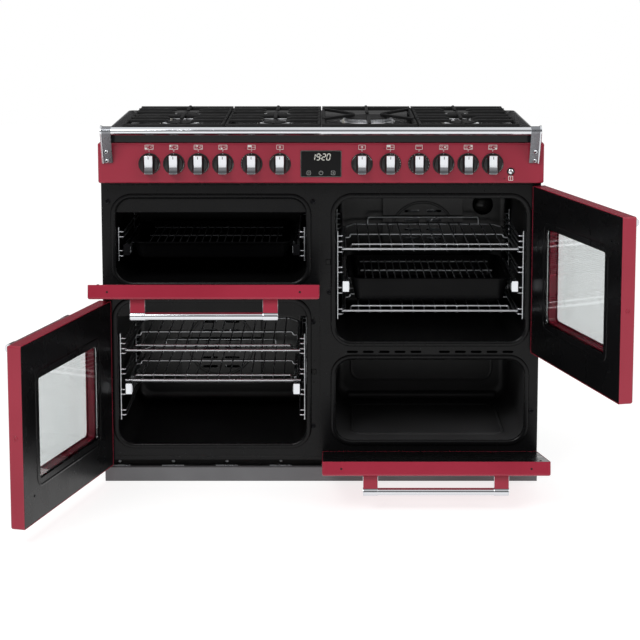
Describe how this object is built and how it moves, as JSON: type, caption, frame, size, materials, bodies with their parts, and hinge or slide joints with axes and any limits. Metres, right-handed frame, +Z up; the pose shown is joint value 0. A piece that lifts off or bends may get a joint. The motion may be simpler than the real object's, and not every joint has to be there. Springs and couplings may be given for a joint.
{
  "type": "freestanding gas range cooker",
  "caption": "Wide range cooker with a gas hob, pan supports, a front rail and four ovens behind two drop-down and two side-hinged doors.",
  "frame": {"origin": "on the floor under the middle of the plinth, on the cabinet's centre line, in the plane of the oven mouths", "axes": "+X to the right of a person standing at the range, +Y towards the wall behind it, +Z up"},
  "size_m": [1.4468, 1.0998, 0.9125],
  "materials": {
    "red_enamel": "glossy vitreous enamel, dark red",
    "black_enamel": "glossy vitreous enamel, black",
    "grey_steel": "satin grey paint",
    "chrome": "polished",
    "cast_iron": "matt black enamel on cast iron",
    "aluminium": "cast, satin",
    "black_plastic": "gloss black dial with a bright finger bar",
    "glass": "clear",
    "dark_glass": "smoked clock window",
    "galvanised": "bright zinc-plated"
  },
  "bodies": {
    "cabinet": {"cabinet_shell": "black_enamel", "front_frame": "black_enamel", "grill_oven_liner": "black_enamel", "main_oven_liner": "black_enamel", "side_oven_liner": "black_enamel", "slow_oven_liner": "black_enamel", "hob_tray": "black_enamel", "plinth": "grey_steel", "control_panel": "red_enamel", "front_rail": "chrome", "grill_oven_side_wires": "chrome", "main_oven_side_wires": "chrome", "side_oven_side_wires": "chrome", "grate_left": "cast_iron", "grate_centre_left": "cast_iron", "grate_wok": "cast_iron", "grate_right": "cast_iron", "burner_front_left": "aluminium", "burner_rear_left": "aluminium", "burner_front_centre": "aluminium", "burner_rear_centre": "aluminium", "burner_wok": "aluminium", "burner_front_right": "aluminium", "burner_rear_right": "aluminium", "clock_display": "dark_glass"},
    "grill_door": {"grill_door_skin": "red_enamel", "grill_door_inner": "black_enamel", "grill_door_handle": "chrome"},
    "main_door": {"main_door_skin": "red_enamel", "main_door_inner": "black_enamel", "main_door_handle": "chrome", "main_door_glass": "glass"},
    "side_door": {"side_door_skin": "red_enamel", "side_door_inner": "black_enamel", "side_door_handle": "chrome", "side_door_glass": "glass"},
    "slow_door": {"slow_door_skin": "red_enamel", "slow_door_inner": "black_enamel", "slow_door_handle": "chrome"},
    "hob_knob_front_left": {"knob_01": "black_plastic"},
    "hob_knob_rear_left": {"knob_02": "black_plastic"},
    "hob_knob_rear_centre": {"knob_03": "black_plastic"},
    "hob_knob_front_centre": {"knob_04": "black_plastic"},
    "grill_knob": {"knob_05": "black_plastic"},
    "main_oven_knob": {"knob_06": "black_plastic"},
    "side_oven_function_knob": {"knob_07": "black_plastic"},
    "side_oven_knob": {"knob_08": "black_plastic"},
    "slow_oven_knob": {"knob_09": "black_plastic"},
    "hob_knob_wok": {"knob_10": "black_plastic"},
    "hob_knob_rear_right": {"knob_11": "black_plastic"},
    "hob_knob_front_right": {"knob_12": "black_plastic"},
    "ignition_button_body": {"ignition_button": "chrome"},
    "main_oven_upper_shelf_body": {"main_oven_upper_shelf": "chrome"},
    "main_oven_lower_shelf_body": {"main_oven_lower_shelf": "chrome"},
    "side_oven_upper_shelf_body": {"side_oven_upper_shelf": "chrome"},
    "side_oven_lower_shelf_body": {"side_oven_lower_shelf": "chrome"},
    "grill_pan_body": {"grill_pan": "black_enamel"},
    "roasting_pan_body": {"roasting_pan": "black_enamel"},
    "main_oven_fan_body": {"main_oven_fan": "galvanised"},
    "side_oven_fan_body": {"side_oven_fan": "galvanised"}
  },
  "joints": [
    {"name": "grill_door_hinge", "type": "hinge", "parent": "cabinet", "child": "grill_door", "pos_m": [-0.276, -0.0255, 0.491], "axis": [1, 0, 0], "range_deg": [-79.2, 0]},
    {"name": "slow_door_hinge", "type": "hinge", "parent": "cabinet", "child": "slow_door", "pos_m": [0.276, -0.0255, 0.062], "axis": [1, 0, 0], "range_deg": [-79.2, 0]},
    {"name": "main_door_hinge", "type": "hinge", "parent": "cabinet", "child": "main_door", "pos_m": [-0.54, -0.02, 0.255], "axis": [0, 0, -1], "range_deg": [-105, 0]},
    {"name": "side_door_hinge", "type": "hinge", "parent": "cabinet", "child": "side_door", "pos_m": [0.54, -0.02, 0.546], "axis": [0, 0, 1], "range_deg": [-105, 0]},
    {"name": "hob_knob_front_left_turn", "type": "hinge", "parent": "cabinet", "child": "hob_knob_front_left", "pos_m": [-0.423, -0.04, 0.8155], "axis": [0, -1, 0], "range_deg": [0, 225]},
    {"name": "hob_knob_rear_left_turn", "type": "hinge", "parent": "cabinet", "child": "hob_knob_rear_left", "pos_m": [-0.3625, -0.04, 0.8155], "axis": [0, -1, 0], "range_deg": [0, 225]},
    {"name": "hob_knob_rear_centre_turn", "type": "hinge", "parent": "cabinet", "child": "hob_knob_rear_centre", "pos_m": [-0.302, -0.04, 0.8155], "axis": [0, -1, 0], "range_deg": [0, 225]},
    {"name": "hob_knob_front_centre_turn", "type": "hinge", "parent": "cabinet", "child": "hob_knob_front_centre", "pos_m": [-0.2415, -0.04, 0.8155], "axis": [0, -1, 0], "range_deg": [0, 225]},
    {"name": "grill_knob_turn", "type": "hinge", "parent": "cabinet", "child": "grill_knob", "pos_m": [-0.171, -0.04, 0.8155], "axis": [0, 1, 0], "range_deg": [0, 270]},
    {"name": "main_oven_knob_turn", "type": "hinge", "parent": "cabinet", "child": "main_oven_knob", "pos_m": [-0.101, -0.04, 0.8155], "axis": [0, 1, 0], "range_deg": [0, 270]},
    {"name": "side_oven_function_knob_turn", "type": "hinge", "parent": "cabinet", "child": "side_oven_function_knob", "pos_m": [0.101, -0.04, 0.8155], "axis": [0, 1, 0], "range_deg": [0, 270]},
    {"name": "side_oven_knob_turn", "type": "hinge", "parent": "cabinet", "child": "side_oven_knob", "pos_m": [0.171, -0.04, 0.8155], "axis": [0, 1, 0], "range_deg": [0, 270]},
    {"name": "slow_oven_knob_turn", "type": "hinge", "parent": "cabinet", "child": "slow_oven_knob", "pos_m": [0.2415, -0.04, 0.8155], "axis": [0, 1, 0], "range_deg": [0, 270]},
    {"name": "hob_knob_wok_turn", "type": "hinge", "parent": "cabinet", "child": "hob_knob_wok", "pos_m": [0.302, -0.04, 0.8155], "axis": [0, -1, 0], "range_deg": [0, 225]},
    {"name": "hob_knob_rear_right_turn", "type": "hinge", "parent": "cabinet", "child": "hob_knob_rear_right", "pos_m": [0.3625, -0.04, 0.8155], "axis": [0, -1, 0], "range_deg": [0, 225]},
    {"name": "hob_knob_front_right_turn", "type": "hinge", "parent": "cabinet", "child": "hob_knob_front_right", "pos_m": [0.423, -0.04, 0.8155], "axis": [0, -1, 0], "range_deg": [0, 225]},
    {"name": "ignition_button_press", "type": "slide", "parent": "cabinet", "child": "ignition_button_body", "axis": [0, 1, 0], "range_m": [0, 0.003], "stiffness_N_per_m": 300, "springref_m": -0.001},
    {"name": "main_oven_upper_shelf_slide", "type": "slide", "parent": "cabinet", "child": "main_oven_upper_shelf_body", "axis": [0, -1, 0], "range_m": [0, 0.3]},
    {"name": "main_oven_lower_shelf_slide", "type": "slide", "parent": "cabinet", "child": "main_oven_lower_shelf_body", "axis": [0, -1, 0], "range_m": [0, 0.3]},
    {"name": "side_oven_upper_shelf_slide", "type": "slide", "parent": "cabinet", "child": "side_oven_upper_shelf_body", "axis": [0, -1, 0], "range_m": [0, 0.3]},
    {"name": "side_oven_lower_shelf_slide", "type": "slide", "parent": "cabinet", "child": "side_oven_lower_shelf_body", "axis": [0, -1, 0], "range_m": [0, 0.3]},
    {"name": "grill_pan_slide", "type": "slide", "parent": "cabinet", "child": "grill_pan_body", "axis": [0, -1, 0], "range_m": [0, 0.28]},
    {"name": "roasting_pan_slide", "type": "slide", "parent": "cabinet", "child": "roasting_pan_body", "axis": [0, -1, 0], "range_m": [0, 0.3]},
    {"name": "main_oven_fan_spin", "type": "hinge", "parent": "cabinet", "child": "main_oven_fan_body", "pos_m": [-0.275, 0.411, 0.264], "axis": [0, 1, 0], "continuous": true},
    {"name": "side_oven_fan_spin", "type": "hinge", "parent": "cabinet", "child": "side_oven_fan_body", "pos_m": [0.275, 0.411, 0.57], "axis": [0, 1, 0], "continuous": true}
  ]
}
